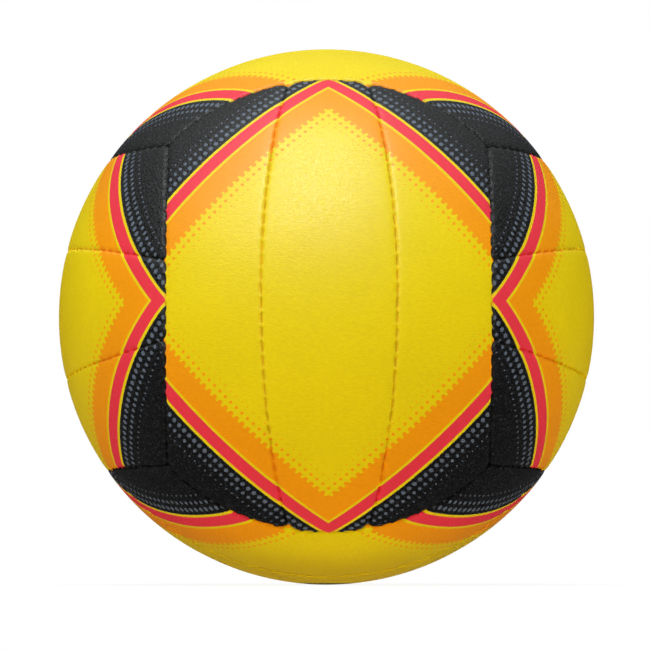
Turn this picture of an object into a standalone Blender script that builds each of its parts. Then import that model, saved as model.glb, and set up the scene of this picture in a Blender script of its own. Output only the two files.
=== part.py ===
# Hand-stitched volleyball, in metres, +Z up, with the origin at the ball's centre.
# The cover is six faces of three strips each. The strips of a face end on the long sides of its
# neighbours, so every face is turned a quarter against the ones beside it. Behind each cover panel
# lies a cloth lining, then the rubber bladder. The valve sits in the middle of the back face, on +Y.

import math

import bmesh
import bpy
from mathutils import Matrix, Vector

# Ball
CIRCUMFERENCE = 0.670
COVER_THICKNESS = 0.0022
LINING_THICKNESS = 0.0010
BLADDER_THICKNESS = 0.0009
INNER_SEAM_ANGLE = math.radians(13.8)
RIM_CHAMFER = 0.0008

# Stitching
THREAD_DIAMETER = 0.0008
THREAD_DEPTH = 0.0015

# Valve body
VALVE_HEAD_DIAMETER = 0.0090
VALVE_HEAD_SINK = 0.0005
VALVE_FLANGE_DIAMETER = 0.0240
VALVE_FLANGE_THICKNESS = 0.0014
VALVE_BARREL_DIAMETER = 0.0100
VALVE_BARREL_DEPTH = 0.0120

# Valve core, the rubber plug that pulls out of the valve body
CORE_HEAD_DIAMETER = 0.0056
CORE_HEAD_THICKNESS = 0.0010
CORE_HEAD_SINK = 0.0002
CORE_STEM_DIAMETER = 0.0044
CORE_LENGTH = 0.0170
NEEDLE_CHANNEL_DIAMETER = 0.0016
NEEDLE_MOUTH_DIAMETER = 0.0030
NEEDLE_MOUTH_DEPTH = 0.0015

# Clearance between pieces that touch on the real ball
FIT_GAP = 0.0003

# Flats of the faceted solids
MIDDLE_ACROSS_STEPS = 4
SIDE_ACROSS_STEPS = 3
ALONG_STEPS = 12
THREAD_STEPS = 10
BLADDER_STEPS = 24
BLADDER_RINGS = 14
VALVE_STEPS = 24
SMOOTH_ANGLE = math.radians(40)
MERGE_DISTANCE = 1e-6

# Sizes that follow from the ones above
BALL_RADIUS = CIRCUMFERENCE / (2 * math.pi)
SEAM_PLANE = BALL_RADIUS / math.sqrt(3)
SEAM_GAP = THREAD_DIAMETER + 2 * FIT_GAP
HALF_GAP = SEAM_GAP / 2
THREAD_END_TRIM = THREAD_DIAMETER / 2 + 2 * FIT_GAP
COVER_INSIDE = BALL_RADIUS - COVER_THICKNESS
LINING_OUTSIDE = COVER_INSIDE - FIT_GAP
LINING_INSIDE = LINING_OUTSIDE - LINING_THICKNESS
VALVE_TOP = BALL_RADIUS - VALVE_HEAD_SINK
VALVE_HOLE_RADIUS = VALVE_HEAD_DIAMETER / 2 + FIT_GAP
CORE_TOP = VALVE_TOP - CORE_HEAD_SINK
CORE_LEDGE = CORE_TOP - CORE_HEAD_THICKNESS

# Outward axis of each face, and the axis along its strips
FACE_AXES = {
    "front": ((0, -1, 0), (0, 0, 1)),
    "back": ((0, 1, 0), (0, 0, 1)),
    "top": ((0, 0, 1), (1, 0, 0)),
    "bottom": ((0, 0, -1), (1, 0, 0)),
    "right": ((1, 0, 0), (0, 1, 0)),
    "left": ((-1, 0, 0), (0, 1, 0)),
}

# Names of each face's strips, in order across it
STRIP_NAMES = {
    "front": ("left", "middle", "right"),
    "back": ("right", "middle", "left"),
    "top": ("back", "middle", "front"),
    "bottom": ("front", "middle", "back"),
    "right": ("upper", "middle", "lower"),
    "left": ("lower", "middle", "upper"),
}
VALVE_FACE = "back"

# Colour and roughness of each finish
FINISHES = {
    "cover": ((0.93, 0.72, 0.02), 0.5),
    "lining": ((0.80, 0.78, 0.72), 0.9),
    "bladder": ((0.03, 0.03, 0.03), 0.6),
    "thread": ((0.55, 0.42, 0.05), 0.8),
    "valve_body": ((0.05, 0.05, 0.05), 0.55),
    "valve_core": ((0.12, 0.12, 0.13), 0.5),
}


def clear_scene():
    for item in list(bpy.data.objects):
        bpy.data.objects.remove(item)


def make_material(name):
    colour, roughness = FINISHES[name]
    material = bpy.data.materials.new(name)
    material.use_nodes = True
    shader = material.node_tree.nodes["Principled BSDF"]
    shader.inputs["Base Color"].default_value = (*colour, 1)
    shader.inputs["Roughness"].default_value = roughness
    shader.inputs["Metallic"].default_value = 0
    return material


def make_empty(name, columns):
    empty = bpy.data.objects.new(name, None)
    bpy.context.collection.objects.link(empty)
    empty.matrix_world = Matrix(columns).transposed().to_4x4()
    return empty


def spread(first, last, steps):
    return [first + (last - first) * step / steps for step in range(steps + 1)]


def place(name, data, parent=None):
    item = bpy.data.objects.new(name, data)
    item.parent = parent
    bpy.context.collection.objects.link(item)
    return item


def finish_mesh(bm, name, material):
    bmesh.ops.recalc_face_normals(bm, faces=bm.faces)
    mesh = bpy.data.meshes.new(name)
    bm.to_mesh(mesh)
    bm.free()
    mesh.materials.append(material)
    mesh.shade_smooth()
    mesh.set_sharp_from_angle(angle=SMOOTH_ANGLE)
    return mesh


# Panels and linings
#
# In a face's own frame X runs across its strips, Y along them and Z outward. A strip's long side is
# the line x = offset + slope * reach on the sphere, where reach is the distance from the Y axis: an
# outer side lies in a plane of equal x, and an inner seam in a plane through the Y axis.

def strip_sides(strip):
    outer = SEAM_PLANE - HALF_GAP
    slope = math.sin(INNER_SEAM_ANGLE)
    shift = HALF_GAP * math.cos(INNER_SEAM_ANGLE)
    if strip < 0:
        return (-outer, 0), (-shift, -slope)
    if strip > 0:
        return (shift, slope), (outer, 0)
    return (shift, -slope), (-shift, slope)


def end_angle(offset, slope):
    # The line ends in the plane that holds the neighbouring face's long side.
    end = SEAM_PLANE + HALF_GAP
    square = 1 - slope ** 2
    product = offset * slope
    reach = (product + math.sqrt(product ** 2 + square * (offset ** 2 + end ** 2))) / square
    return math.acos(reach / BALL_RADIUS)


def strip_direction(sides, share, turn):
    (offset_a, slope_a), (offset_b, slope_b) = sides
    offset = offset_a + (offset_b - offset_a) * share
    slope = slope_a + (slope_b - slope_a) * share
    angle = end_angle(offset, slope) * turn
    reach = BALL_RADIUS * math.cos(angle)
    across = offset + slope * reach
    outward = math.sqrt(reach ** 2 - across ** 2)
    return Vector((across, BALL_RADIUS * math.sin(angle), outward)).normalized()


def strip_rows(strip):
    sides = strip_sides(strip)
    columns = SIDE_ACROSS_STEPS if strip else MIDDLE_ACROSS_STEPS
    rows = []
    for turn in spread(-1, 1, ALONG_STEPS):
        rows.append([strip_direction(sides, share, turn) for share in spread(0, 1, columns)])
    return rows


def grid_cells(rows):
    for low, high in zip(rows, rows[1:]):
        for col in range(len(low) - 1):
            yield low[col], low[col + 1], high[col + 1], high[col]


def strip_mesh(name, strip, outside, inside, chamfer, material):
    bm = bmesh.new()
    verts = [[bm.verts.new(point * outside) for point in row] for row in strip_rows(strip)]
    for cell in grid_cells(verts):
        bm.faces.new(cell)
    rim = [edge for edge in bm.edges if edge.is_boundary]
    made = bmesh.ops.extrude_face_region(bm, geom=list(bm.faces), use_keep_orig=True)
    for item in made["geom"]:
        if isinstance(item, bmesh.types.BMVert):
            item.co = item.co * (inside / outside)
    bmesh.ops.recalc_face_normals(bm, faces=bm.faces)
    if chamfer:
        bmesh.ops.bevel(bm, geom=rim, offset=chamfer, segments=1, affect="EDGES")
    return finish_mesh(bm, name, material)


def build_cover(frames):
    cover = make_material("cover")
    lining = make_material("lining")
    pieces = {}
    for strip in (-1, 0, 1):
        panel_mesh = strip_mesh("panel", strip, BALL_RADIUS, COVER_INSIDE, RIM_CHAMFER, cover)
        lining_mesh = strip_mesh("lining", strip, LINING_OUTSIDE, LINING_INSIDE, 0, lining)
        for face, names in STRIP_NAMES.items():
            side = names[strip + 1]
            for layer, mesh in (("panel", panel_mesh), ("lining", lining_mesh)):
                name = f"{face}_{side}_{layer}"
                pieces[name] = place(name, mesh, frames[face])
    return pieces


# Stitching, one thread along each inner seam and four along the edges between the faces

def make_thread(name, points, material, parent=None):
    curve = bpy.data.curves.new(name, "CURVE")
    curve.dimensions = "3D"
    curve.bevel_depth = THREAD_DIAMETER / 2
    curve.bevel_resolution = 1
    curve.use_fill_caps = True
    curve.materials.append(material)
    spline = curve.splines.new("POLY")
    spline.points.add(len(points) - 1)
    for knot, point in zip(spline.points, points):
        knot.co = (*point, 1)
    return place(name, curve, parent)


def inner_seam_points(side):
    radius = BALL_RADIUS - THREAD_DEPTH
    end = math.acos(SEAM_PLANE / (BALL_RADIUS * math.cos(INNER_SEAM_ANGLE)))
    end -= THREAD_END_TRIM / radius
    points = []
    for angle in spread(-end, end, THREAD_STEPS):
        reach = radius * math.cos(angle)
        across = side * reach * math.sin(INNER_SEAM_ANGLE)
        points.append(Vector((across, radius * math.sin(angle), reach * math.cos(INNER_SEAM_ANGLE))))
    return points


def edge_seam_points(corner, axis, trim_start, trim_end):
    # From a corner of the cube of faces along one axis to the next corner.
    radius = BALL_RADIUS - THREAD_DEPTH
    ring = radius * math.sqrt(2 / 3)
    level = (axis + 1) % 3
    outward = (axis + 2) % 3
    limit = math.pi / 4
    points = []
    for angle in spread(trim_start / ring - limit, limit - trim_end / ring, THREAD_STEPS):
        point = Vector((0, 0, 0))
        point[axis] = -corner[axis] * ring * math.sin(angle)
        point[level] = corner[level] * radius / math.sqrt(3)
        point[outward] = corner[outward] * ring * math.cos(angle)
        points.append(point)
    return points


def build_threads(frames):
    material = make_material("thread")
    for face, names in STRIP_NAMES.items():
        for side in (-1, 1):
            make_thread(f"{face}_{names[side + 1]}_thread", inner_seam_points(side), material, frames[face])
    # Each edge thread runs through three seams, along X, Y and Z in turn, so four take all twelve.
    starts = ((-1, -1, -1), (1, 1, -1), (1, -1, 1), (-1, 1, 1))
    for number, start in enumerate(starts, 1):
        corner = list(start)
        points = []
        for axis in range(3):
            trim_start = THREAD_END_TRIM if axis == 0 else 0
            trim_end = THREAD_END_TRIM if axis == 2 else 0
            seam = edge_seam_points(corner, axis, trim_start, trim_end)
            points += seam if axis == 0 else seam[1:]
            corner[axis] = -corner[axis]
        make_thread(f"edge_thread_{number}", points, material)


# Bladder and valve, turned about the valve's axis, which is Z in the valve's own frame

def lowest_flat():
    # How near to the centre the flats of a strip come, as a share of the radius of their corners.
    lowest = 1
    for strip in (-1, 0, 1):
        for a, b, c, d in grid_cells(strip_rows(strip)):
            lowest = min(lowest, ((a + c) / 2).length, ((b + d) / 2).length)
    return lowest


def turned_mesh(name, section, steps, closed, material):
    bm = bmesh.new()
    verts = [bm.verts.new((radius, 0, height)) for radius, height in section]
    edges = [bm.edges.new(pair) for pair in zip(verts, verts[1:])]
    if closed:
        edges.append(bm.edges.new((verts[-1], verts[0])))
    bmesh.ops.spin(
        bm, geom=verts + edges, cent=(0, 0, 0), axis=(0, 0, 1),
        angle=2 * math.pi, steps=steps, use_merge=True,
    )
    bmesh.ops.remove_doubles(bm, verts=bm.verts, dist=MERGE_DISTANCE)
    return finish_mesh(bm, name, material)


def arc_section(radius, first, last, steps):
    return [(radius * math.sin(angle), radius * math.cos(angle)) for angle in spread(first, last, steps)]


def bladder_radii():
    outside = LINING_INSIDE * lowest_flat() - FIT_GAP
    return outside, outside - BLADDER_THICKNESS


def build_bladder(frame):
    outside, inside = bladder_radii()
    outer_hole = math.asin(VALVE_HOLE_RADIUS / outside)
    inner_hole = math.asin(VALVE_HOLE_RADIUS / inside)
    outer_arc = arc_section(outside, math.pi, outer_hole, BLADDER_RINGS)
    inner_arc = arc_section(inside, inner_hole, math.pi, BLADDER_RINGS)
    outer_arc[0] = (0, -outside)
    inner_arc[-1] = (0, -inside)
    mesh = turned_mesh("bladder", outer_arc + inner_arc, BLADDER_STEPS, False, make_material("bladder"))
    place("bladder", mesh, frame)


def build_valve_body(frame):
    # The flange seats under the bladder's flats, which come nearer to the centre than its rings.
    inside = bladder_radii()[1]
    sag = inside * (1 - math.cos(math.pi / (2 * BLADDER_RINGS)))
    flange = VALVE_FLANGE_DIAMETER / 2
    flange_top = math.sqrt(inside ** 2 - flange ** 2) - sag - FIT_GAP
    flange_low = flange_top - VALVE_FLANGE_THICKNESS
    head = VALVE_HEAD_DIAMETER / 2
    barrel = VALVE_BARREL_DIAMETER / 2
    barrel_low = flange_low - VALVE_BARREL_DEPTH
    bore = CORE_STEM_DIAMETER / 2 + FIT_GAP
    pocket = CORE_HEAD_DIAMETER / 2 + FIT_GAP
    ledge = CORE_LEDGE - FIT_GAP
    section = [
        (pocket, VALVE_TOP), (head, VALVE_TOP), (head, flange_top), (flange, flange_top),
        (flange, flange_low), (barrel, flange_low), (barrel, barrel_low), (bore, barrel_low),
        (bore, ledge), (pocket, ledge),
    ]
    mesh = turned_mesh("valve_body", section, VALVE_STEPS, True, make_material("valve_body"))
    place("valve_body", mesh, frame)


def build_valve_core(frame):
    head = CORE_HEAD_DIAMETER / 2
    stem = CORE_STEM_DIAMETER / 2
    channel = NEEDLE_CHANNEL_DIAMETER / 2
    mouth = NEEDLE_MOUTH_DIAMETER / 2
    ledge = -CORE_HEAD_THICKNESS
    section = [
        (mouth, 0), (head, 0), (head, ledge), (stem, ledge), (stem, -CORE_LENGTH),
        (channel, -CORE_LENGTH), (channel, -NEEDLE_MOUTH_DEPTH),
    ]
    mesh = turned_mesh("valve_core", section, VALVE_STEPS, True, make_material("valve_core"))
    core = place("valve_core", mesh, frame)
    core.location = (0, 0, CORE_TOP)


def cut_valve_hole(pieces, frame):
    # A round cutter through the middle strip and its lining, clear of the valve's head.
    layers = BALL_RADIUS - LINING_INSIDE
    bm = bmesh.new()
    bmesh.ops.create_cone(
        bm, cap_ends=True, segments=VALVE_STEPS,
        radius1=VALVE_HOLE_RADIUS, radius2=VALVE_HOLE_RADIUS, depth=3 * layers,
    )
    mesh = bpy.data.meshes.new("valve_hole_cutter")
    bm.to_mesh(mesh)
    bm.free()
    cutter = place("valve_hole_cutter", mesh, frame)
    cutter.location = (0, 0, BALL_RADIUS - layers / 2)
    cutter.hide_render = True
    cutter.display_type = "WIRE"
    for layer in ("panel", "lining"):
        cut = pieces[f"{VALVE_FACE}_middle_{layer}"].modifiers.new("valve_hole", "BOOLEAN")
        cut.operation = "DIFFERENCE"
        cut.solver = "EXACT"
        cut.object = cutter


def build_ball():
    clear_scene()
    frames = {}
    for face, (outward, along) in FACE_AXES.items():
        across = Vector(along).cross(Vector(outward))
        frames[face] = make_empty(f"{face}_face", (across, Vector(along), Vector(outward)))
    pieces = build_cover(frames)
    build_threads(frames)
    valve_frame = frames[VALVE_FACE]
    build_bladder(valve_frame)
    build_valve_body(valve_frame)
    build_valve_core(valve_frame)
    cut_valve_hole(pieces, valve_frame)


build_ball()
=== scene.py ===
import math

import bmesh
import bpy
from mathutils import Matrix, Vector


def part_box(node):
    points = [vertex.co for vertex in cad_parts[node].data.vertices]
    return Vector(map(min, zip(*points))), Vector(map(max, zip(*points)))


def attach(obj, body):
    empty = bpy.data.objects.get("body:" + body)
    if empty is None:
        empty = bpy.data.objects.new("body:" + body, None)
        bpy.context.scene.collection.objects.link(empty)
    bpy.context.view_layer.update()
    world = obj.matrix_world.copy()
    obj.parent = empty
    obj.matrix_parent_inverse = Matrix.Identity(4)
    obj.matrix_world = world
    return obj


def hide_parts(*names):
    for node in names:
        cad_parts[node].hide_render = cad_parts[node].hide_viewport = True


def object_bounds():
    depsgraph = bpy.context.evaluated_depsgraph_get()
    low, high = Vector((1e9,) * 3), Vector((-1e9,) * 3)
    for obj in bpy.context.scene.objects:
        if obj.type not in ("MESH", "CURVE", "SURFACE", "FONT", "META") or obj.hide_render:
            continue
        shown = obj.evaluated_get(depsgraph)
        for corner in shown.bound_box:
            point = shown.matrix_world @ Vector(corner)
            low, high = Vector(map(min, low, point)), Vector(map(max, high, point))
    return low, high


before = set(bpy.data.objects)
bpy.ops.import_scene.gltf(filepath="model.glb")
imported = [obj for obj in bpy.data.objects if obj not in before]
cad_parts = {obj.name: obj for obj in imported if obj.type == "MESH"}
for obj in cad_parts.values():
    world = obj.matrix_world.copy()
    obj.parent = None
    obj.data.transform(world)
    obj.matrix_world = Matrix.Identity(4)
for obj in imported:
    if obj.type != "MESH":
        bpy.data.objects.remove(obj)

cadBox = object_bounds()
print("frame loaded:", len(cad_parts), "nodes")

# The ball: six faces of three strips, in metres, with the origin at the ball's centre
ball = {
    "radius": (cadBox[1].z - cadBox[0].z) / 2,
    "innerSeamAngle": math.radians(13.8),   # the two seams inside a face, from the face's middle line
    "edgeLevel": 1 / math.sqrt(3),          # planes of the seams between faces, as a share of the radius
    "edgeStitches": 27,
    "innerStitches": 37,
}
faceAxes = {                                # outward axis, axis along the strips
    "front": ((0, -1, 0), (0, 0, 1)),
    "back": ((0, 1, 0), (0, 0, 1)),
    "top": ((0, 0, 1), (1, 0, 0)),
    "bottom": ((0, 0, -1), (1, 0, 0)),
    "right": ((1, 0, 0), (0, 1, 0)),
    "left": ((-1, 0, 0), (0, 1, 0)),
}
stripNames = {                              # in order across the face
    "front": ("left", "middle", "right"),
    "back": ("right", "middle", "left"),
    "top": ("back", "middle", "front"),
    "bottom": ("front", "middle", "back"),
    "right": ("upper", "middle", "lower"),
    "left": ("lower", "middle", "upper"),
}
valveFace = "back"

# What follows from these: half the angle of each kind of seam, the pitch of its stitches, and how far
# from the middle of an edge seam the inner seams of the next face end
innerReach = math.acos(ball["edgeLevel"] / math.cos(ball["innerSeamAngle"]))
innerPitch = ball["radius"] * 2 * innerReach / ball["innerStitches"]
edgeReach = math.pi / 4
edgeRing = math.sqrt(1 - ball["edgeLevel"] ** 2)
edgePitch = ball["radius"] * edgeRing * 2 * edgeReach / ball["edgeStitches"]
junctionTurn = math.asin(ball["edgeLevel"] * math.tan(ball["innerSeamAngle"]) / edgeRing)
junction = ball["radius"] * edgeRing * junctionTurn


def faceFrame(face):
    outward, along = (Vector(axis) for axis in faceAxes[face])
    return along.cross(outward), along, outward


# Node trees are written as expressions on wires

class Wire:
    def __init__(self, tree, socket=None):
        self.tree = tree
        self.socket = socket

    def node(self, kind, settings=None, sockets=None, output=0):
        made = self.tree.nodes.new(kind)
        for name, value in (settings or {}).items():
            setattr(made, name, value)
        for key, value in (sockets or {}).items():
            if isinstance(value, Wire):
                self.tree.links.new(value.socket, made.inputs[key])
            else:
                made.inputs[key].default_value = value
        return Wire(self.tree, made.outputs[output] if made.outputs else None)

    def math(self, operation, *values):
        return self.node("ShaderNodeMath", {"operation": operation}, dict(enumerate(values)))

    def vector(self, operation, *values, output=0):
        return self.node("ShaderNodeVectorMath", {"operation": operation}, dict(enumerate(values)), output)

    def __add__(self, other):
        return self.math("ADD", self, other)

    def __sub__(self, other):
        return self.math("SUBTRACT", self, other)

    def __rsub__(self, other):
        return self.math("SUBTRACT", other, self)

    def __mul__(self, other):
        return self.math("MULTIPLY", self, other)

    def __truediv__(self, other):
        return self.math("DIVIDE", self, other)

    def __rtruediv__(self, other):
        return self.math("DIVIDE", other, self)

    def __neg__(self):
        return self.math("MULTIPLY", self, -1)

    __radd__ = __add__
    __rmul__ = __mul__

    def call(self, operation):              # functions of one value, such as SINE or ABSOLUTE
        return self.math(operation, self)

    def least(self, other):
        return self.math("MINIMUM", self, other)

    def most(self, other):
        return self.math("MAXIMUM", self, other)

    def above(self, low, high):             # 0 below low, 1 above high, smooth between
        ends = {0: self, 1: low, 2: high}
        return self.node("ShaderNodeMapRange", {"interpolation_type": "SMOOTHSTEP"}, ends)

    def raised(self, share):                # 0 to 1 becomes share to 1
        return self * (1 - share) + share

    def scaled(self, factor):               # a vector times a number
        return self.node("ShaderNodeVectorMath", {"operation": "SCALE"}, {0: self, 3: factor})

    def dot(self, other):
        return self.vector("DOT_PRODUCT", self, other, output="Value")

    def parts(self):
        made = self.node("ShaderNodeSeparateXYZ", None, {0: self}).socket.node
        return [Wire(self.tree, output) for output in made.outputs]

    def joined(self, *numbers):
        return self.node("ShaderNodeCombineXYZ", None, dict(enumerate(numbers)))

    def summed(self, *vectors):
        total = vectors[0]
        for item in vectors[1:]:
            total = self.vector("ADD", total, item)
        return total

    def noise(self, place, size, detail=2.0):
        sockets = {"Vector": place, "Scale": 1 / size, "Detail": detail}
        return self.node("ShaderNodeTexNoise", None, sockets)

    def mixed(self, share, first, second):  # colours
        sockets = {0: share, 6: first, 7: second}
        return self.node("ShaderNodeMix", {"data_type": "RGBA"}, sockets, output=2)


def paint(red, green, blue):                # a colour as a screen shows it, each part from 0 to 255
    def linear(level):
        share = level / 255
        return share / 12.92 if share <= 0.04045 else ((share + 0.055) / 1.055) ** 2.4
    return linear(red), linear(green), linear(blue), 1


def newMaterial(name):
    material = bpy.data.materials.new(name)
    material.use_nodes = True
    material.node_tree.nodes.clear()
    return material, Wire(material.node_tree)


def showShader(wire, shader):
    wire.node("ShaderNodeOutputMaterial", None, {"Surface": shader})


def showSurface(wire, sockets):
    showShader(wire, wire.node("ShaderNodeBsdfPrincipled", None, sockets))


# Printed synthetic leather of the cover panels
millimetres = 1000                          # in a metre
coverPrint = {                              # in mm; a chevron's number is |along| + |across| on the face
    "edgeBlur": 0.12,
    "blackFrom": 104.0,
    "redFrom": 95.5,
    "redTo": 102.4,
    "orangeFrom": 82.0,
    "orangeTo": 94.0,
    "fadeFrom": 66.0,                       # orange dots on the yellow grow from here on
    "fadeTo": 88.0,                         # and are largest here, under the orange stripe
    "dotPitch": 3.1,
    "dotLargest": 0.43,                     # dot radius as a share of the pitch
    "greyDotsFrom": 107.0,                  # grey dots on the black shrink from here on
    "greyDotsTo": 123.0,                    # and are gone here
    "greyDotLargest": 0.301,
    "yellow": paint(236, 213, 2),
    "orange": paint(247, 158, 0),
    "red": paint(236, 56, 77),
    "black": paint(5, 5, 6),
    "blackGlintSpeck": paint(54, 58, 66),        # tips of the pebbles on the black, painted paler as their glint
    "grey": paint(94, 106, 127),
}
coverSurface = {                            # a range: the noise levels where a mark begins and is full
    "roughness": 0.46,
    "pebbleGloss": 0.50,                    # spread of the roughness from pebble to pebble, on the black
    "plainGloss": 0.5,                      # and the share of it on the other colours
    "polishRange": (0.3, 0.7),
    "sheen": 0.80,                          # specular level
    "pebbleSize": 0.00075,
    "pebbleShare": 0.22,
    "glintSpeckSize": 0.000675,
    "glintSpeckRange": (0.54, 0.76),
    "wrinkleLength": 0.0018,
    "wrinkleWidth": 0.00042,
    "wrinkleDrift": 40.0,                   # how fast they change from one side of the ball to the other
    "wrinkleShare": 0.34,
    "wrinkleFoldShade": (0.06, 0.10, 0.22),      # painted shade in the folds of the wrinkles, darker by this
    "wrinkleRange": (0.30, 0.68),
    "blackPebble": 5.0,                     # on the black, pebbles and wrinkles are deeper by these
    "blackWrinkle": 2.5,
    "grainDepth": 0.00016,
    "grainStrength": 1.0,
    "stainSize": 0.030,
    "stainRange": (0.3, 0.7),
    "stainStrength": 0.035,
    "rimFrom": 0.0003,                      # grey band beside a seam: wear, and a painted highlight of the rim
    "rimTo": 0.0022,
    "rimWearAndSheen": 0.06,
    "wearSize": 0.004,
    "wearRange": (0.45, 0.7),
    "wornAndSheen": paint(96, 96, 100),
    "creaseShade": (0.90, 0.72, 0.30),           # painted shade: the colour is darker in the crease and the folded rim has lost its gloss
    "mattFrom": 0.0002,                     # and the folded rim has lost its gloss
    "mattTo": 0.0012,
    "mattRim": 0.38,
}


def coverLeather():
    material, wire = newMaterial("printedLeather")
    spot = wire.node("ShaderNodeUVMap", {"uv_map": "panelMap"})
    place = wire.node("ShaderNodeTexCoord", output="Object")
    across, along = [part * millimetres for part in spot.parts()[:2]]

    # chevrons
    rank = along.call("ABSOLUTE") + across.call("ABSOLUTE")
    blur = coverPrint["edgeBlur"]

    def past(limit):
        return rank.above(limit - blur, limit + blur)

    def stripe(low, high):
        return past(low) - past(high)

    # one grid of dots, turned by 45 degrees, serves both fades
    pitch = coverPrint["dotPitch"] * math.sqrt(2)
    rowA = ((across + along) / pitch).call("FRACT") - 0.5
    rowB = ((across - along) / pitch).call("FRACT") - 0.5
    fromCentre = (rowA * rowA + rowB * rowB).call("SQRT")
    dotBlur = blur / pitch

    def dots(size):
        return (size - fromCentre).above(-dotBlur, dotBlur)

    warmSize = rank.above(coverPrint["fadeFrom"], coverPrint["fadeTo"]) * coverPrint["dotLargest"]
    greySize = 1 - rank.above(coverPrint["greyDotsFrom"], coverPrint["greyDotsTo"])
    greySize = greySize * coverPrint["greyDotLargest"]
    black = past(coverPrint["blackFrom"])
    warm = dots(warmSize) * (1 - past(coverPrint["orangeTo"]))
    warm = warm.most(stripe(coverPrint["orangeFrom"], coverPrint["orangeTo"]))
    colour = wire.mixed(warm, coverPrint["yellow"], coverPrint["orange"])
    colour = wire.mixed(stripe(coverPrint["redFrom"], coverPrint["redTo"]), colour, coverPrint["red"])
    # paler specks on the black: the pebble tips, with their glint painted in
    glintSpeck = wire.noise(place, coverSurface["glintSpeckSize"], detail=1.0).above(*coverSurface["glintSpeckRange"])
    inkAndGlints = wire.mixed(glintSpeck, coverPrint["black"], coverPrint["blackGlintSpeck"])
    colour = wire.mixed(black, colour, inkAndGlints)
    colour = wire.mixed(black * dots(greySize), colour, coverPrint["grey"])

    # sewing and handling: painted shade in the creases, black rims turned grey beside the seams by wear and a
    # painted highlight, and a slow change of tone
    fromSeam = wire.node("ShaderNodeAttribute", {"attribute_name": "fromSeam"}, output="Fac")
    creaseShade = wire.node("ShaderNodeAttribute", {"attribute_name": "creaseShade"}, output="Fac")
    # painted shade: the crease darkens the colour, and on the black it hides the paler pebble tips
    creaseShaded = wire.vector("MULTIPLY", colour, coverSurface["creaseShade"])
    colour = wire.mixed(creaseShade, colour, creaseShaded)
    colour = wire.mixed(creaseShade * black, colour, coverPrint["black"])
    # grey band on the black beside the seams: wear, and a painted highlight of the rim
    rim = fromSeam.above(0, coverSurface["rimFrom"])
    rim = rim - fromSeam.above(coverSurface["rimFrom"], coverSurface["rimTo"])
    wear = wire.noise(place, coverSurface["wearSize"], detail=4.0).above(*coverSurface["wearRange"])
    wornAndSheen = rim * wear
    colour = wire.mixed(black * wornAndSheen * coverSurface["rimWearAndSheen"], colour, coverSurface["wornAndSheen"])
    stain = wire.noise(place, coverSurface["stainSize"], detail=4.0).above(*coverSurface["stainRange"])

    # grain: pebbles with short wrinkles across the strips
    longSide = across / (millimetres * coverSurface["wrinkleLength"])
    shortSide = along / (millimetres * coverSurface["wrinkleWidth"])
    drift = place.parts()[0] * coverSurface["wrinkleDrift"]
    wrinkle = wire.noise(wire.joined(longSide, shortSide, drift), 1.0)
    stained = 1 - stain * coverSurface["stainStrength"]
    fold = 1 - wrinkle.above(*coverSurface["wrinkleRange"])
    # painted shade: the colour is darker in the folds of the wrinkles
    shades = [stained - fold * tone for tone in coverSurface["wrinkleFoldShade"]]
    colour = wire.vector("MULTIPLY", colour, wire.joined(*shades))
    sockets = {"Vector": place, "Scale": 1 / coverSurface["pebbleSize"]}
    pebble = wire.node("ShaderNodeTexVoronoi", {"feature": "SMOOTH_F1"}, sockets)
    polish = wire.noise(place, coverSurface["pebbleSize"], detail=1.0)
    polish = polish.above(*coverSurface["polishRange"]) - 0.5
    gloss = polish * black.raised(coverSurface["plainGloss"]) * coverSurface["pebbleGloss"]
    matt = 1 - fromSeam.above(coverSurface["mattFrom"], coverSurface["mattTo"])
    gloss = gloss + coverSurface["roughness"] + matt * coverSurface["mattRim"]
    folds = wrinkle * coverSurface["wrinkleShare"] * (1 + black * coverSurface["blackWrinkle"])
    grain = folds - pebble * coverSurface["pebbleShare"] * (1 + black * coverSurface["blackPebble"])
    sockets = {"Strength": coverSurface["grainStrength"], "Distance": coverSurface["grainDepth"]}
    bump = wire.node("ShaderNodeBump", None, {**sockets, "Height": grain})
    sockets = {"Base Color": colour, "Roughness": gloss, "Normal": bump}
    showSurface(wire, {**sockets, "Specular IOR Level": coverSurface["sheen"]})
    return material


# Cloth of the linings, a plain weave
liningWeave = {
    "yarn": 0.00055,
    "blend": 0.6,
    "shade": paint(196, 190, 176),
    "light": paint(232, 228, 216),
    "roughness": 0.9,
}


def liningCloth():
    material, wire = newMaterial("liningCloth")
    across, along = wire.node("ShaderNodeUVMap", {"uv_map": "panelMap"}).parts()[:2]
    turn = math.pi / liningWeave["yarn"]
    weave = (across * turn).call("SINE") * (along * turn).call("SINE")
    tone = weave.above(-liningWeave["blend"], liningWeave["blend"])
    colour = wire.mixed(tone, liningWeave["shade"], liningWeave["light"])
    showSurface(wire, {"Base Color": colour, "Roughness": liningWeave["roughness"]})
    return material


# Thread and bladder: two tones that mingle
threadFinish = {
    "spot": 0.0006,
    "detail": 3.0,
    "range": (0.3, 0.7),
    "shade": paint(150, 116, 20),
    "light": paint(196, 160, 42),
    "roughness": 0.75,
}
bladderFinish = {
    "spot": 0.012,
    "detail": 5.0,
    "range": (0.35, 0.75),
    "shade": paint(34, 34, 35),
    "light": paint(58, 58, 58),
    "roughness": 0.62,
}


def mottled(name, finish):
    material, wire = newMaterial(name)
    place = wire.node("ShaderNodeTexCoord", output="Object")
    tone = wire.noise(place, finish["spot"], finish["detail"]).above(*finish["range"])
    colour = wire.mixed(tone, finish["shade"], finish["light"])
    showSurface(wire, {"Base Color": colour, "Roughness": finish["roughness"]})
    return material


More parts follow.
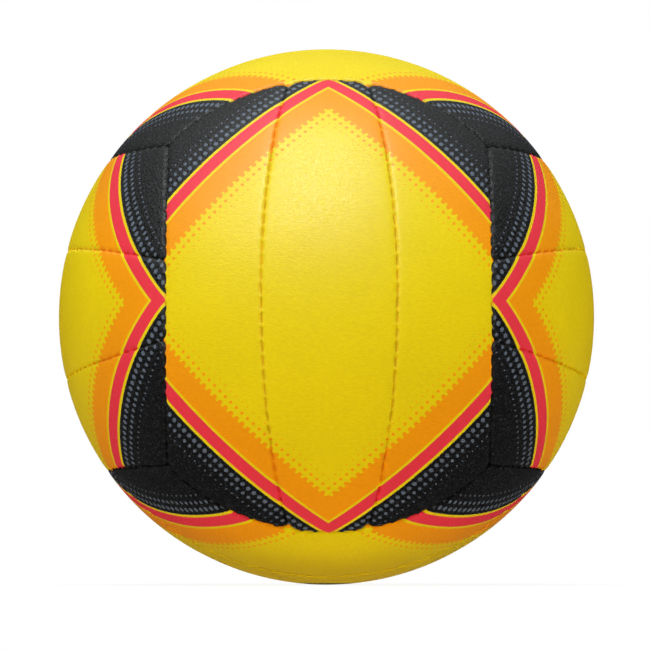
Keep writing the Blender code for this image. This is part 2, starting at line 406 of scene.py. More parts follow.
# Moulded rubber of the valve, a little duller where it has bloomed
valveFinish = {
    "bloom": 0.0016,
    "bloomRange": (0.35, 0.7),
    "bloomRoughness": 0.2,
    "roughness": 0.45,
    "grain": 0.0003,
    "grainStrength": 0.3,
    "grainDepth": 0.00005,
    "bodyShade": paint(52, 52, 53),
    "bodyLight": paint(70, 70, 70),
    "coreShade": paint(86, 86, 90),
    "coreLight": paint(112, 112, 116),
}


def valveRubber(name, shade, light):
    material, wire = newMaterial(name)
    place = wire.node("ShaderNodeTexCoord", output="Object")
    bloom = wire.noise(place, valveFinish["bloom"], detail=4.0)
    colour = wire.mixed(bloom.above(*valveFinish["bloomRange"]), shade, light)
    grain = wire.noise(place, valveFinish["grain"], detail=3.0)
    sockets = {"Strength": valveFinish["grainStrength"], "Distance": valveFinish["grainDepth"]}
    bump = wire.node("ShaderNodeBump", None, {**sockets, "Height": grain})
    gloss = bloom * valveFinish["bloomRoughness"] + valveFinish["roughness"]
    showSurface(wire, {"Base Color": colour, "Roughness": gloss, "Normal": bump})
    return material


# Geometry Nodes: a tree takes its sizes as named inputs, and its result is kept as a plain mesh

def newTree(name, vectors, numbers):
    tree = bpy.data.node_groups.new(name, "GeometryNodeTree")
    kinds = [("Geometry", "NodeSocketGeometry")]
    kinds += [(label, "NodeSocketVector") for label in vectors]
    kinds += [(label, "NodeSocketFloat") for label in numbers]
    kinds += [("Material", "NodeSocketMaterial")]
    for label, kind in kinds:
        tree.interface.new_socket(label, in_out="INPUT", socket_type=kind)
    tree.interface.new_socket("Geometry", in_out="OUTPUT", socket_type="NodeSocketGeometry")
    source = tree.nodes.new("NodeGroupInput")
    return Wire(tree), {label: Wire(tree, source.outputs[label]) for label, kind in kinds}


def endTree(wire, geometry, material):
    solid = wire.node("GeometryNodeRealizeInstances", None, {0: geometry})
    solid = wire.node("GeometryNodeSetMaterial", None, {"Geometry": solid, "Material": material})
    wire.node("NodeGroupOutput", None, {0: solid})


def plainMesh(item):
    graph = bpy.context.evaluated_depsgraph_get()
    return bpy.data.meshes.new_from_object(
        item.evaluated_get(graph), preserve_all_data_layers=True, depsgraph=graph,
    )


def grow(mesh, wire, values):
    item = bpy.data.objects.new(mesh.name, mesh)
    bpy.context.scene.collection.objects.link(item)
    modifier = item.modifiers.new(wire.tree.name, "NODES")
    modifier.node_group = wire.tree
    for socket in wire.tree.interface.items_tree:
        if socket.in_out == "INPUT" and socket.name in values:
            modifier[socket.identifier] = values[socket.name]
    made = plainMesh(item)
    item.modifiers.remove(modifier)
    bpy.data.objects.remove(item)
    return made


sharpFrom = {                               # edges that bend by more than this stay sharp
    "panel": math.radians(50),
    "thread": math.radians(60),
    "turned": math.radians(40),
}


def showPiece(name, mesh, node, body):
    item = bpy.data.objects.new(name, mesh)
    bpy.context.scene.collection.objects.link(item)
    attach(item, body)
    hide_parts(node)


strayAxis = (0.36, 0.48, 0.80)              # in no seam's plane, so it tells a seam's two sides apart


def strayed(wire, seamPoint, normal, size, length):
    # The seam line wanders a little. Both panels at a seam read the same noise at the same place, and
    # their normals are opposite, so they stray together.
    side = normal.dot(strayAxis).call("SIGN")
    return (wire.noise(seamPoint, length, detail=1.0) - 0.5) * 2 * size * side


# Cover panels and the lining behind them, wrapped on the ball from flat blanks
coverPanel = {                              # named inputs of the wrapping tree, in metres
    "Radius": ball["radius"],
    "Thickness": 0.0022,
    "Clearance": 0.000015,
    "Channel": 0.0007,                      # the underside stands back and leaves the thread room
    "Wander": 0.00035,
    "Wander Length": 0.011,
    "Wander Reach": 0.0040,
    "Rim Width": 0.0008,
    "Rim Depth": 0.00040,
    "Pillow Reach": 0.0018,
    "Pillow Depth": 0.00027,
    "Stitch Reach": 0.0009,                 # the thread draws the seam down along each stitch
    "Stitch Depth": 0.00043,
    # reach of the painted shade along a crease
    "Crease Shade Reach": 0.0005,
    "Corner Reach": 0.0016,
    "Corner Depth": 0.0004,
    "Notch Reach": 0.0016,                  # an inner seam ends in round corners that the next face fills
    "Notch Dip": 0.35,                      # and both lie lower there, by this share of the rounding
    "Unevenness": 0.00030,
    "Uneven Length": 0.030,
}
liningGap = 0.0003                          # between the cover and its lining
liningPanel = dict(coverPanel)
liningPanel.update({
    "Radius": ball["radius"] - coverPanel["Thickness"] - liningGap,
    "Thickness": 0.0010,
    "Clearance": 0.0003,
    "Channel": 0.0,
    "Rim Depth": 0.0003,
    "Pillow Depth": 0.0,
    "Stitch Depth": 0.0,
    "Corner Depth": 0.0,
    "Unevenness": 0.0,
})
cornerRounding = {                          # of the strips' ends on each pair of faces
    "front": 0.0022, "back": 0.0022, "top": 0.0017, "bottom": 0.0017, "right": 0.0009, "left": 0.0009,
}
endsHere = {                                # the faces whose strips end at the long sides of this one
    "front": "right", "back": "right", "top": "front", "bottom": "front", "right": "top", "left": "top",
}
stitchShape = {                             # shares that shape the stitches of every seam
    "bridgeDepth": 0.15,                    # depth and width of the rim on a bridge between two stitches
    "bridgeWidth": 0.5,
    "bridgeLeast": 0.6,                     # the bridges differ in height, down to this
    "bridgeRange": (0.2, 0.6),              # by noise between these levels
    "deepest": 0.85,                        # of the panel's thickness
}
blankCells = {                              # a fine border, a coarse middle and a coarser underside
    "panel": {
        "step": 0.00042, "finest": 0.00014, "growth": 1.25, "border": 0.0045, "middle": 4, "under": 16,
    },
    "lining": {
        "step": 0.0012, "finest": 0.0010, "growth": 1.3, "border": 0.0030, "middle": 3, "under": 3,
    },
}


def borderInsets(cells):
    insets = [0.0]
    step = cells["finest"]
    while insets[-1] < cells["border"]:
        insets.append(insets[-1] + step)
        step *= cells["growth"]
    return insets


def flatBlank(name, width, length, cells):
    # x runs from 0 to 1 across, y from -1 to 1 along, and z is 1 outside and 0 inside
    under = cells["under"]
    columns = under * round(width / (cells["step"] * under))
    rows = under * round(length / (cells["step"] * under))
    around = 2 * (columns + rows)
    bm = bmesh.new()

    def point(x, y, layer):
        return bm.verts.new((x / width, 2 * y / length - 1, layer))

    def ring(inset, skip, layer):
        right = width - inset
        far = length - inset
        corners = [(inset, inset), (right, inset), (right, far), (inset, far)]
        made = []
        for place, count in enumerate((columns, rows, columns, rows)):
            start = Vector(corners[place])
            end = Vector(corners[(place + 1) % 4])
            made += [point(*start.lerp(end, step / count), layer) for step in range(0, count, skip)]
        return made

    def fill(border, inset, wide, high, skip, layer):
        # a grid inside a ring, whose outer cells take several of the ring's edges
        def place(col, row):
            if row == 0:
                return col * skip
            if col == wide:
                return (wide + row) * skip
            if row == high:
                return (wide + high + wide - col) * skip
            if col == 0:
                return (2 * wide + high + high - row) * skip
            return None

        grid = {}
        for col in range(wide + 1):
            for row in range(high + 1):
                index = place(col, row)
                if index is None:
                    x = inset + (width - 2 * inset) * col / wide
                    y = inset + (length - 2 * inset) * row / high
                    grid[col, row] = point(x, y, layer)
                else:
                    grid[col, row] = border[index % len(border)]
        for col in range(wide):
            for row in range(high):
                corners = [(col, row), (col + 1, row), (col + 1, row + 1), (col, row + 1)]
                loop = []
                for number, corner in enumerate(corners):
                    loop.append(grid[corner])
                    start = place(*corner)
                    end = place(*corners[(number + 1) % 4])
                    if start is not None and end is not None and (end - start) % len(border) == skip:
                        loop += [border[(start + step) % len(border)] for step in range(1, skip)]
                bm.faces.new(loop)

    insets = borderInsets(cells)
    rings = [ring(inset, 1, 1) for inset in insets]
    for outer, inner in zip(rings, rings[1:]):
        for step in range(around):
            bm.faces.new((outer[step - 1], outer[step], inner[step], inner[step - 1]))
    middle = cells["middle"]
    fill(rings[-1], insets[-1], columns // middle, rows // middle, middle, 1)
    lower = ring(0, under, 0)
    fill(lower, 0, columns // under, rows // under, 1, 0)
    for step in range(len(lower)):
        fine = [rings[0][(step * under + extra) % around] for extra in range(under + 1)]
        bm.faces.new(fine + [lower[(step + 1) % len(lower)], lower[step]])
    bmesh.ops.recalc_face_normals(bm, faces=bm.faces)
    mesh = bpy.data.meshes.new(name)
    bm.to_mesh(mesh)
    bm.free()
    mesh.shade_smooth()
    return mesh


def stripInputs(face, strip):
    # long sides as x = offset + slope * reach on a ball of radius 1, and planes that bound the strip
    tilt = ball["innerSeamAngle"]
    slope = math.sin(tilt)
    edge = ball["edgeLevel"]
    inner = {"Level": 0.0, "Offset": 0.0, "Pitch": innerPitch, "Notch": 0.0}
    outer = {"Level": -edge, "Slope": 0.0, "Pitch": edgePitch, "Notch": -cornerRounding[endsHere[face]]}
    if strip:
        inside = {**inner, "Slope": strip * slope, "Normal": (strip * math.cos(tilt), 0, -slope)}
        outside = {**outer, "Offset": strip * edge, "Normal": (-strip, 0, 0)}
        sides = (outside, inside) if strip < 0 else (inside, outside)
    else:
        sides = [{**inner, "Slope": side * slope, "Normal": (-side * math.cos(tilt), 0, slope)}
                 for side in (-1, 1)]
    values = {"End Normal": (0, 0, 1), "End Level": edge, "End Pitch": edgePitch}
    values["End Notch"] = cornerRounding[face]
    for label, side in zip(("Left", "Right"), sides):
        values.update({f"{label} {key}": value for key, value in side.items()})
    return values


def wrapTree():
    sides = ("Left", "Right", "End")
    vectors = ["Face Across", "Face Along", "Face Outward"] + [f"{side} Normal" for side in sides]
    numbers = list(coverPanel)
    numbers += [f"{side} {what}" for side in sides for what in ("Level", "Pitch", "Notch")]
    numbers += [f"{side} {what}" for side in sides[:2] for what in ("Offset", "Slope")]
    wire, size = newTree("wrapOnBall", vectors, numbers)
    radius = size["Radius"]

    # place on a ball of radius 1, in the face's own frame
    share, turn, layer = wire.node("GeometryNodeInputPosition").parts()
    offset = size["Left Offset"] + (size["Right Offset"] - size["Left Offset"]) * share
    slope = size["Left Slope"] + (size["Right Slope"] - size["Left Slope"]) * share
    square = 1 - slope * slope
    product = offset * slope
    end = size["End Level"]
    root = (product * product + square * (offset * offset + end * end)).call("SQRT")
    angle = ((product + root) / square).call("ARCCOSINE") * turn
    reach = angle.call("COSINE")
    across = offset + slope * reach
    along = angle.call("SINE")
    outward = (reach * reach - across * across).call("SQRT")
    direction = wire.joined(across, along, outward)

    def onBall(vector):
        parts = zip(("Face Across", "Face Along", "Face Outward"), vector.parts())
        return wire.summed(*[size[axis].scaled(part) for axis, part in parts])

    def fading(distance, length):
        return (-(distance / length)).call("EXPONENT")

    def bell(distance, length):
        share = distance / length
        return (-(share * share)).call("EXPONENT")

    def stored(geometry, label, value, kind, domain):
        sockets = {"Geometry": geometry, "Name": label, "Value": value}
        return wire.node("GeometryNodeStoreNamedAttribute", {"data_type": kind, "domain": domain}, sockets)

    # each seam draws the panel down in dashes, one for each stitch, with a short bridge between two
    uneven = wire.noise(onBall(direction).scaled(radius), size["Uneven Length"]) - 0.5
    drop = uneven * size["Unevenness"]
    nearest = None
    creaseShade = None
    shift = direction
    distances = {}
    for seam, coordinate in (("Left", along), ("Right", along), ("End", across)):
        normal = size[f"{seam} Normal"]
        level = size[f"{seam} Level"]
        ring = (1 - level * level).call("SQRT")
        side = direction.dot(normal)
        distance = ((side.call("ARCSINE") - level.call("ARCSINE")) * radius).most(0)
        distances[seam] = distance
        nearest = distance if nearest is None else nearest.least(distance)
        inPlane = wire.vector("NORMALIZE", wire.vector("SUBTRACT", direction, normal.scaled(side)))
        seamPoint = onBall(wire.summed(inPlane.scaled(ring), normal.scaled(level))).scaled(radius)
        toward = wire.vector("NORMALIZE", wire.vector("SUBTRACT", normal, direction.scaled(side)))
        stray = strayed(wire, seamPoint, onBall(normal), size["Wander"], size["Wander Length"])
        slide = (size["Clearance"] + stray) * fading(distance, size["Wander Reach"])
        arc = (coordinate / ring).least(1).most(-1).call("ARCSINE") * ring * radius
        notch = size[f"{seam} Notch"] * bell(arc.call("ABSOLUTE") - junction, size["Notch Reach"])
        nearNotch = fading(distance, size["Notch Reach"])
        drop = drop + notch.call("ABSOLUTE") * size["Notch Dip"] * nearNotch
        slide = slide + notch * nearNotch + size["Channel"] * (1 - layer)
        shift = wire.summed(shift, toward.scaled(slide / radius))
        wave = (arc * (2 * math.pi) / size[f"{seam} Pitch"]).call("COSINE") * 0.5 + 0.5
        loose = wire.noise(seamPoint, size[f"{seam} Pitch"], detail=0.0)
        loose = loose.above(*stitchShape["bridgeRange"]).raised(stitchShape["bridgeLeast"])
        sunk = 1 - wave * wave * wave * loose
        drawn = sunk.raised(stitchShape["bridgeDepth"])
        bend = (1 - distance / (size["Rim Width"] * sunk.raised(stitchShape["bridgeWidth"]))).most(0)
        drop = drop + size["Rim Depth"] * drawn * bend * bend
        drop = drop + size["Pillow Depth"] * fading(distance, size["Pillow Reach"])
        drop = drop + size["Stitch Depth"] * sunk * bell(distance, size["Stitch Reach"])
        # painted shade along the crease, deepest in the dashes where the seam is drawn down
        mark = drawn * bell(distance, size["Crease Shade Reach"])
        creaseShade = mark if creaseShade is None else creaseShade.most(mark)
    for seam in ("Left", "Right"):
        fromCorner = distances[seam] + distances["End"]
        drop = drop + size["Corner Depth"] * fading(fromCorner, size["Corner Reach"])
    deepest = size["Thickness"] * stitchShape["deepest"]
    depth = drop.least(deepest) * layer + size["Thickness"] * (1 - layer)
    place = onBall(wire.vector("NORMALIZE", shift)).scaled(radius - depth)

    # what the leather reads: the place on the face, how far the nearest seam is, and the painted shade of the
    # creases
    spot = wire.joined(across.call("ARCSINE") * radius, along.call("ARCSINE") * radius, 0)
    mapped = stored(size["Geometry"], "panelMap", spot, "FLOAT2", "CORNER")
    mapped = stored(mapped, "fromSeam", nearest, "FLOAT", "POINT")
    mapped = stored(mapped, "creaseShade", creaseShade, "FLOAT", "POINT")
    wrapped = wire.node("GeometryNodeSetPosition", None, {"Geometry": mapped, "Position": place})
    endTree(wire, wrapped, size["Material"])
    return wire


# The valve's hole through the middle strip of its face
valve = {
    "holeRadius": 0.0048,
    "cutDepth": 0.02,
    "steps": 72,
    "weld": 0.000002,                       # points of the cut closer than this become one
}


def holeCutter():
    bm = bmesh.new()
    bmesh.ops.create_cone(
        bm, cap_ends=True, segments=valve["steps"],
        radius1=valve["holeRadius"], radius2=valve["holeRadius"], depth=valve["cutDepth"],
    )
    toValve = Vector((0, 0, 1)).rotation_difference(Vector((0, 1, 0))).to_matrix()
    bmesh.ops.rotate(bm, verts=bm.verts, matrix=toValve)
    bmesh.ops.translate(bm, verts=bm.verts, vec=(0, ball["radius"], 0))
    mesh = bpy.data.meshes.new("valveHole")
    bm.to_mesh(mesh)
    bm.free()
    item = bpy.data.objects.new("valveHole", mesh)
    bpy.context.scene.collection.objects.link(item)
    return item


def cutHole(mesh, cutter):
    item = bpy.data.objects.new(mesh.name, mesh)
    bpy.context.scene.collection.objects.link(item)
    cut = item.modifiers.new("valveHole", "BOOLEAN")
    cut.operation = "DIFFERENCE"
    cut.solver = "EXACT"
    cut.object = cutter
    made = plainMesh(item)
    bpy.data.objects.remove(item)
    bm = bmesh.new()
    bm.from_mesh(made)
    bmesh.ops.remove_doubles(bm, verts=bm.verts, dist=valve["weld"])
    bm.to_mesh(made)
    bm.free()
    return made


def buildPanels():
    tree = wrapTree()
    cutter = holeCutter()
    layers = {
        "panel": (coverPanel, coverLeather(), "cover"),
        "lining": (liningPanel, liningCloth(), "lining"),
    }
    outerWidth = math.asin(ball["edgeLevel"]) - ball["innerSeamAngle"]
    widths = {-1: outerWidth, 0: 2 * ball["innerSeamAngle"], 1: outerWidth}
    for layer, (sizes, material, slot) in layers.items():
        for strip, width in widths.items():
            length = 2 * innerReach * ball["radius"]
            blank = flatBlank(f"{layer}Blank", width * ball["radius"], length, blankCells[layer])
            for face, names in stripNames.items():
                node = f"{face}_{names[strip + 1]}_{layer}"
                frameAxes = zip(("Face Across", "Face Along", "Face Outward"), faceFrame(face))
                values = {**sizes, **stripInputs(face, strip), "Material": material}
                values.update({axis: tuple(vector) for axis, vector in frameAxes})
                mesh = grow(blank, tree, values)
                if face == valveFace and strip == 0:
                    mesh = cutHole(mesh, cutter)
                mesh.set_sharp_from_angle(angle=sharpFrom["panel"])
                showPiece(f"{node}_skin", mesh, node, "ball")
            bpy.data.meshes.remove(blank)
    bpy.data.objects.remove(cutter)


print("panels and linings")
buildPanels()

# Stitching: one waxed thread weaves along each seam, down at every stitch and up between them
seamThread = {                              # named inputs of the stitching tree, in metres
    "Radius": ball["radius"],
    "Thread Radius": 0.00028,
    "Depth": 0.0019,
    "Rise": 0.00022,
    "Sway": 0.00010,
    "Wander": coverPanel["Wander"],
    "Wander Length": coverPanel["Wander Length"],
    "Points": 6.0,                          # along one stitch
    "Sides": 6.0,
    "Trim": 0.0020,                         # kept clear at both ends
}


def stitchTree():
    numbers = list(seamThread) + ["Level", "Half Angle", "Pitch"]
    wire, size = newTree("stitchSeam", ["Axis", "Middle"], numbers)
    radius = size["Radius"]
    level = size["Level"]
    ring = (1 - level * level).call("SQRT")
    half = size["Half Angle"] - size["Trim"] / (ring * radius)
    turn = (wire.node("GeometryNodeSplineParameter") * 2 - 1) * half
    forward = size["Middle"].scaled(turn.call("COSINE"))
    aside = wire.vector("CROSS_PRODUCT", size["Axis"], size["Middle"]).scaled(turn.call("SINE"))
    onSeam = wire.summed(size["Axis"].scaled(level), wire.summed(forward, aside).scaled(ring))
    phase = turn * ring * radius * (2 * math.pi) / size["Pitch"]
    stray = strayed(wire, onSeam.scaled(radius), size["Axis"], size["Wander"], size["Wander Length"])
    slide = stray + (phase * 0.5).call("SINE") * size["Sway"]   # to each side in turn
    height = radius - size["Depth"] - phase.call("COSINE") * size["Rise"]
    place = wire.summed(onSeam.scaled(height), size["Axis"].scaled(slide))
    count = half * 2 * ring * radius / size["Pitch"] * size["Points"]
    line = wire.node("GeometryNodeCurvePrimitiveLine")
    line = wire.node("GeometryNodeResampleCurve", {"mode": "COUNT"}, {"Curve": line, "Count": count})
    line = wire.node("GeometryNodeSetPosition", None, {"Geometry": line, "Position": place})
    sockets = {"Resolution": size["Sides"], "Radius": size["Thread Radius"]}
    outline = wire.node("GeometryNodeCurvePrimitiveCircle", None, sockets)
    sockets = {"Curve": line, "Profile Curve": outline, "Fill Caps": True}
    endTree(wire, wire.node("GeometryNodeCurveToMesh", None, sockets), size["Material"])
    return wire


def joinMeshes(name, meshes):
    bm = bmesh.new()
    for mesh in meshes:
        bm.from_mesh(mesh)
    joined = bpy.data.meshes.new(name)
    bm.to_mesh(joined)
    bm.free()
    joined.materials.append(meshes[0].materials[0])
    joined.shade_smooth()
    joined.set_sharp_from_angle(angle=sharpFrom["thread"])
    for mesh in meshes:
        bpy.data.meshes.remove(mesh)
    return joined


edgeStarts = ((-1, -1, -1), (1, 1, -1), (1, -1, 1), (-1, 1, 1))   # corners where the edge threads begin


def buildStitching():
    tree = stitchTree()
    material = mottled("waxedThread", threadFinish)
    tilt = ball["innerSeamAngle"]
    empty = bpy.data.meshes.new("thread")

    def sew(axis, middle, level, half, pitch):
        values = {**seamThread, "Axis": tuple(axis), "Middle": tuple(middle), "Level": level}
        values.update({"Half Angle": half, "Pitch": pitch, "Material": material})
        return grow(empty, tree, values)

    for face, names in stripNames.items():
        across, _, outward = faceFrame(face)
        for side in (-1, 1):
            axis = across * side * math.cos(tilt) - outward * math.sin(tilt)
            middle = across * side * math.sin(tilt) + outward * math.cos(tilt)
            node = f"{face}_{names[side + 1]}_thread"
            mesh = joinMeshes(node, [sew(axis, middle, 0.0, innerReach, innerPitch)])
            showPiece(f"{node}_stitches", mesh, node, "ball")

    # each edge thread runs through three seams, along X, Y and Z in turn
    for number, start in enumerate(edgeStarts, 1):
        corner = list(start)
        seams = []
        for run in range(3):
            axis = Vector((0, 0, 0))
            middle = Vector((0, 0, 0))
            axis[(run + 1) % 3] = corner[(run + 1) % 3]
            middle[(run + 2) % 3] = corner[(run + 2) % 3]
            seams.append(sew(axis, middle, ball["edgeLevel"], edgeReach, edgePitch))
            corner[run] = -corner[run]
        node = f"edge_thread_{number}"
        showPiece(f"{node}_stitches", joinMeshes(node, seams), node, "ball")
    bpy.data.meshes.remove(empty)


print("stitching")
buildStitching()

# Bladder and valve, turned about the valve's axis, +Y
onAxis = 0.0000001                          # a point this near the axis is on it


def eased(points, radius, steps=4, most=0.45):
    # a closed outline with each corner rounded, over no more than a share of each edge
    outline = []
    for place, corner in enumerate(points):
        here = Vector(corner)
        before = Vector(points[place - 1]) - here
        after = Vector(points[(place + 1) % len(points)]) - here
        reach = min(radius, before.length * most, after.length * most)
        start = here + before.normalized() * reach
        end = here + after.normalized() * reach
        for step in range(steps + 1):
            share = step / steps
            outline.append(start * (1 - share) ** 2 + here * 2 * share * (1 - share) + end * share ** 2)
    return outline


def turned(name, outline, steps, material):
    bm = bmesh.new()
    rings = []
    for radius, height in outline:
        if radius < onAxis:
            rings.append([bm.verts.new((0, height, 0))] * steps)
            continue
        angles = [2 * math.pi * step / steps for step in range(steps)]
        spots = [(radius * math.cos(angle), height, radius * math.sin(angle)) for angle in angles]
        rings.append([bm.verts.new(spot) for spot in spots])
    for near, far in zip(rings, rings[1:] + rings[:1]):
        for step in range(steps):
            corners = (near[step - 1], near[step], far[step], far[step - 1])
            corners = list(dict.fromkeys(corners))
            if len(corners) > 2:
                bm.faces.new(corners)
    bmesh.ops.recalc_face_normals(bm, faces=bm.faces)
    mesh = bpy.data.meshes.new(name)
    bm.to_mesh(mesh)
    bm.free()
    mesh.materials.append(material)
    mesh.shade_smooth()
    mesh.set_sharp_from_angle(angle=sharpFrom["turned"])
    return mesh


bladder = {"thickness": 0.0009, "rings": 60, "steps": 96}
valveBody = {
    "headRadius": 0.0045,
    "barrelRadius": 0.0050,
    "boreRadius": 0.0025,
    "pocketRadius": 0.0031,
    "pocketDepth": 0.0015,
    "flangeThickness": 0.0014,
    "barrelDepth": 0.0120,
    "rounding": 0.0004,
}
valveCore = {
    "stemRadius": 0.0022,
    "headThickness": 0.0010,
    "mouthRadius": 0.0015,
    "mouthDepth": 0.0015,
    "channelRadius": 0.0008,
    "rounding": 0.00025,
}


def buildBladder():
    low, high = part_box("bladder")
    outside = (high.x - low.x) / 2
    inside = outside - bladder["thickness"]
    hole = valve["holeRadius"]

    def arc(radius):
        first = math.asin(hole / radius)
        shares = [step / bladder["rings"] for step in range(bladder["rings"] + 1)]
        angles = [first + (math.pi - first) * share for share in shares]
        return [(radius * math.sin(angle), radius * math.cos(angle)) for angle in angles]

    outline = list(reversed(arc(outside))) + arc(inside)
    rubber = mottled("bladderRubber", bladderFinish)
    mesh = turned("bladder", outline, bladder["steps"], rubber)
    showPiece("bladder_shell", mesh, "bladder", "ball")


def buildValve():
    low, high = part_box("valve_body")
    top = high.y
    flange = high.x
    flangeLow = low.y + valveBody["barrelDepth"]
    flangeTop = flangeLow + valveBody["flangeThickness"]
    head = valveBody["headRadius"]
    barrel = valveBody["barrelRadius"]
    bore = valveBody["boreRadius"]
    pocket = valveBody["pocketRadius"]
    ledge = top - valveBody["pocketDepth"]
    points = [
        (pocket, top), (head, top), (head, flangeTop), (flange, flangeTop), (flange, flangeLow),
        (barrel, flangeLow), (barrel, low.y), (bore, low.y), (bore, ledge), (pocket, ledge),
    ]
    rubber = valveRubber("valveBodyRubber", valveFinish["bodyShade"], valveFinish["bodyLight"])
    mesh = turned("valve_body", eased(points, valveBody["rounding"]), valve["steps"], rubber)
    showPiece("valve_body_moulding", mesh, "valve_body", "ball")

    low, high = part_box("valve_core")
    head = high.x
    ledge = high.y - valveCore["headThickness"]
    stem = valveCore["stemRadius"]
    channel = valveCore["channelRadius"]
    points = [
        (valveCore["mouthRadius"], high.y), (head, high.y), (head, ledge), (stem, ledge), (stem, low.y),
        (channel, low.y), (channel, high.y - valveCore["mouthDepth"]),
    ]
    rubber = valveRubber("valveCoreRubber", valveFinish["coreShade"], valveFinish["coreLight"])
    mesh = turned("valve_core", eased(points, valveCore["rounding"]), valve["steps"], rubber)
    showPiece("valve_core_plug", mesh, "valve_core", "valve_core")


print("bladder and valve")
buildBladder()
buildValve()

# Floor, light and camera
studio = {
    "white": (1, 1, 1, 1),
    "floorSize": 8.0,
    "floorColour": paint(240, 240, 240),
    "floorWhite": 0.86,                     # share of plain white that the lens sees beside the ball
    "whiteFrom": 0.12,                      # from here to whiteBy the floor turns plain white, in metres
    "whiteBy": 0.45,
    "ambient": 0.06,
    "ambientTint": (1.0, 0.98, 0.95, 1),
    "mirrored": 0.02,                       # the dim room in the leather's sheen
    "mirroredCeiling": 0.36,
    "ceilingFrom": 0.25,                    # where the ceiling begins, with straight up as 1
    "ceilingBy": 0.9,                       # and where it is full
    "mirroredFloor": 0.07,
    "backdropFrom": 0.97,                   # the sheen also shows the white backdrop straight behind the ball
    "lampLift": 0.0005,                     # of the soft boxes that lie on the floor
}
floorLamps = cadBox[0].z + studio["lampLift"]
softboxes = {                               # the two keys alone show in the leather's sheen
    "key": {"power": 14.8, "size": (0.9, 1.2), "place": (-0.10, -0.76, 1.10), "tint": (0.94, 1.0, 0.98)},
    "keyLeft": {"power": 2.4, "size": (0.6, 0.6), "place": (-0.86, -0.86, 0.88), "tint": (0.97, 1.0, 0.99)},
    "fill": {"power": 6.0, "size": (1.6, 0.5), "place": (0.1, -1.8, 0.16), "tint": (1.0, 0.98, 0.94)},
    "overhead": {"power": 17.0, "size": (1.4, 1.4), "place": (0.0, 0.90, 1.50), "tint": (0.98, 1.0, 1.0)},
    "left": {"power": 10.8, "size": (1.4, 1.4), "place": (-1.6, 0.35, 0.45), "tint": (1.0, 0.99, 0.97)},
    "right": {"power": 13.8, "size": (1.4, 1.4), "place": (1.6, 0.35, 0.45), "tint": (1.0, 0.99, 0.97)},
    "back": {"power": 9.0, "size": (1.4, 1.4), "place": (0.0, 1.8, 0.60), "tint": (1.0, 0.99, 0.97)},
    "floorFront": {
        "power": 5.6, "size": (2.0, 1.0), "place": (0, -0.55, floorLamps), "aim": (0, -0.55, 1),
        "tint": (1.0, 0.87, 0.70),
    },
    "floorBack": {
        "power": 3.6, "size": (2.0, 1.0), "place": (0, 0.45, floorLamps), "aim": (0, 0.45, 1),
        "tint": (1.0, 0.76, 0.52),
    },
}
photo = {                                   # the ball in pixels of the square picture
    "width": 650,
    "ballCentre": (326.5, 317.0),
    "ballRadius": 267.7,
    "distance": 12.84 * ball["radius"],     # where the camera stands
    "below": math.radians(4.25),
    "aside": math.radians(-0.6),
    "sensor": 36.0,                         # in mm
    "clip": (0.01, 50),
}


def rayKinds(wire):
    path = wire.node("ShaderNodeLightPath").socket.node
    kinds = ("Is Camera Ray", "Is Glossy Ray", "Is Transmission Ray")
    return [Wire(wire.tree, path.outputs[kind]) for kind in kinds]


def buildFloor():
    half = studio["floorSize"] / 2
    low = cadBox[0].z
    bm = bmesh.new()
    corners = ((-half, -half), (half, -half), (half, half), (-half, half))
    bm.faces.new([bm.verts.new((x, y, low)) for x, y in corners])
    mesh = bpy.data.meshes.new("floor")
    bm.to_mesh(mesh)
    bm.free()
    material, wire = newMaterial("paleFloor")
    material.cycles.emission_sampling = "NONE"
    camera, glossy, through = rayKinds(wire)
    place = wire.node("ShaderNodeTexCoord", output="Object")
    fromBall = wire.vector("LENGTH", place, output="Value").above(studio["whiteFrom"], studio["whiteBy"])
    white = fromBall.raised(studio["floorWhite"])
    seen = camera.most(through)
    matte = wire.node("ShaderNodeBsdfDiffuse", None, {"Color": studio["floorColour"]})
    strength = 1 - glossy * (1 - studio["mirroredFloor"])
    bright = wire.node("ShaderNodeEmission", None, {"Color": studio["white"], "Strength": strength})
    shown = (seen * white).most(glossy)
    showShader(wire, wire.node("ShaderNodeMixShader", None, {0: shown, 1: matte, 2: bright}))
    mesh.materials.append(material)
    floor = bpy.data.objects.new("floor", mesh)
    floor.visible_diffuse = False           # its soft boxes give its light, and no sheen with it
    bpy.context.scene.collection.objects.link(floor)


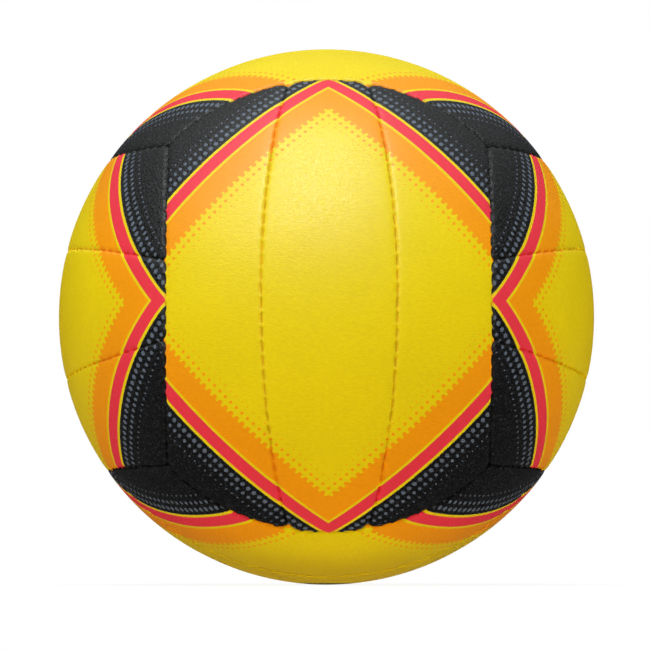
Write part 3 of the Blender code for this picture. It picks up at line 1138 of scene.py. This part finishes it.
def buildWorld():
    world = bpy.data.worlds.new("studio")
    bpy.context.scene.world = world
    world.use_nodes = True
    world.node_tree.nodes.clear()
    wire = Wire(world.node_tree)
    camera, glossy, through = rayKinds(wire)
    world.cycles.sampling_method = "NONE"   # so that the sheen sees the mirrored room alone
    back, height = wire.node("ShaderNodeTexCoord", output="Generated").parts()[1:]
    ceiling = height.above(studio["ceilingFrom"], studio["ceilingBy"])
    mirrored = ceiling * studio["mirroredCeiling"] + studio["mirrored"]
    mirrored = mirrored.most(back.above(studio["backdropFrom"], 1.0))
    seen = camera.most(through)
    sockets = {"Color": studio["white"], "Strength": seen + glossy * mirrored}
    white = wire.node("ShaderNodeBackground", None, sockets)
    sockets = {"Color": studio["ambientTint"], "Strength": (1 - seen.most(glossy)) * studio["ambient"]}
    plain = wire.node("ShaderNodeBackground", None, sockets)
    shader = wire.node("ShaderNodeAddShader", None, {0: white, 1: plain})
    wire.node("ShaderNodeOutputWorld", None, {"Surface": shader})


def buildLights():
    for name, box in softboxes.items():
        lamp = bpy.data.lights.new(f"{name}Box", "AREA")
        lamp.energy = box["power"]
        lamp.color = box["tint"]
        lamp.shape = "RECTANGLE"
        lamp.size, lamp.size_y = box["size"]
        item = bpy.data.objects.new(f"{name}Box", lamp)
        item.location = box["place"]
        towards = Vector(box.get("aim", (0, 0, 0))) - item.location
        item.rotation_euler = towards.to_track_quat("-Z", "Y").to_euler()
        item.visible_glossy = name.startswith("key")
        lamp.cycles.use_multiple_importance_sampling = item.visible_glossy
        bpy.context.scene.collection.objects.link(item)


def buildCamera():
    lens = bpy.data.cameras.new("camera")
    radius = ball["radius"]
    distance = photo["distance"]
    pixels = photo["ballRadius"] * math.sqrt((distance / radius) ** 2 - 1)   # focal length
    lens.sensor_width = photo["sensor"]
    lens.lens = photo["sensor"] * pixels / photo["width"]
    lens.clip_start, lens.clip_end = photo["clip"]
    level = math.cos(photo["below"])
    towards = Vector((
        math.sin(photo["aside"]) * level, -math.cos(photo["aside"]) * level, -math.sin(photo["below"]),
    ))
    right = Vector((0, 0, 1)).cross(towards).normalized()
    upward = towards.cross(right)
    centre = photo["width"] / 2
    moveRight = (photo["ballCentre"][0] - centre) / pixels * distance
    moveUp = (centre - photo["ballCentre"][1]) / pixels * distance
    aim = -right * moveRight - upward * moveUp
    item = bpy.data.objects.new("camera", lens)
    item.location = towards * distance
    item.rotation_euler = (aim - item.location).to_track_quat("-Z", "Y").to_euler()
    bpy.context.scene.collection.objects.link(item)
    bpy.context.scene.camera = item


print("studio")
buildFloor()
buildWorld()
buildLights()
buildCamera()
bpy.context.scene.view_settings.view_transform = "Standard"

print("done")
